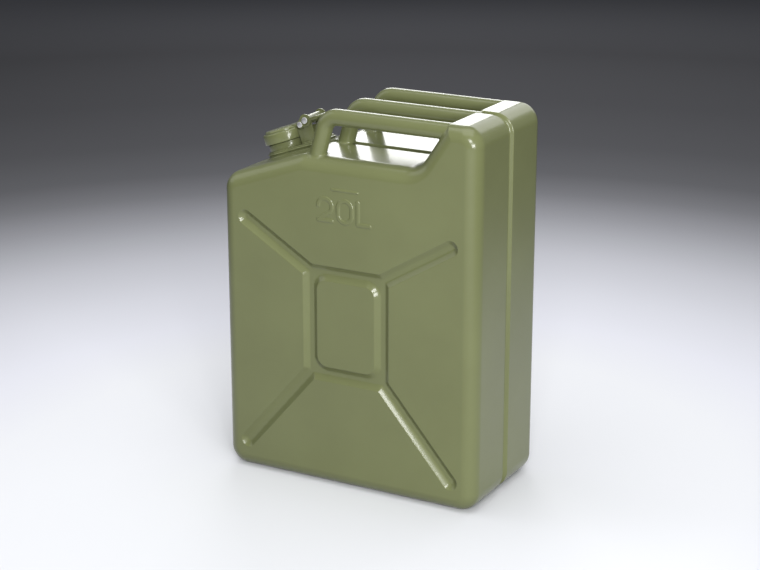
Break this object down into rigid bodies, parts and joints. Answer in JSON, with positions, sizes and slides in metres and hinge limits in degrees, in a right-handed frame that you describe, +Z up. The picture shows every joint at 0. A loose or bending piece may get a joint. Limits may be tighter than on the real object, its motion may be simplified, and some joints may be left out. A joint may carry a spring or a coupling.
{
  "type": "jerrycan",
  "caption": "Pressed steel fuel can with three tubular carrying handles, a sloping shoulder and a hinged lid closed by a short lever.",
  "frame": {"origin": "middle of the base, on the floor", "axes": "+Z up, +X from the spout side to the raised end, +Y away from the marked face"},
  "size_m": [0.345, 0.1729, 0.468],
  "materials": {
    "green_paint": "satin",
    "bright_pin": "polished",
    "zinc_steel": "satin",
    "seal_rubber": "matte"
  },
  "bodies": {
    "can": {"front_shell": "green_paint", "rear_shell": "green_paint", "seam_bead": "green_paint", "handle_front": "green_paint", "handle_middle": "green_paint", "handle_rear": "green_paint", "base_plate": "green_paint", "neck": "green_paint", "vent_tube": "zinc_steel", "hinge_bracket": "green_paint", "main_pin": "bright_pin"},
    "lever": {"lever": "green_paint", "lid_pin": "bright_pin"},
    "lid": {"lid_cap": "green_paint", "lid_plate": "green_paint", "gasket": "seal_rubber", "gasket_disc": "zinc_steel", "lid_stud": "zinc_steel"}
  },
  "joints": [
    {"name": "lever_hinge", "type": "hinge", "parent": "can", "child": "lever", "pos_m": [-0.09341, 0, 0.43627], "axis": [0, 1, 0], "range_deg": [0, 60]},
    {"name": "lid_hinge", "type": "hinge", "parent": "lever", "child": "lid", "pos_m": [-0.10015, 0, 0.43031], "axis": [0, 1, 0], "range_deg": [0, 60]}
  ]
}
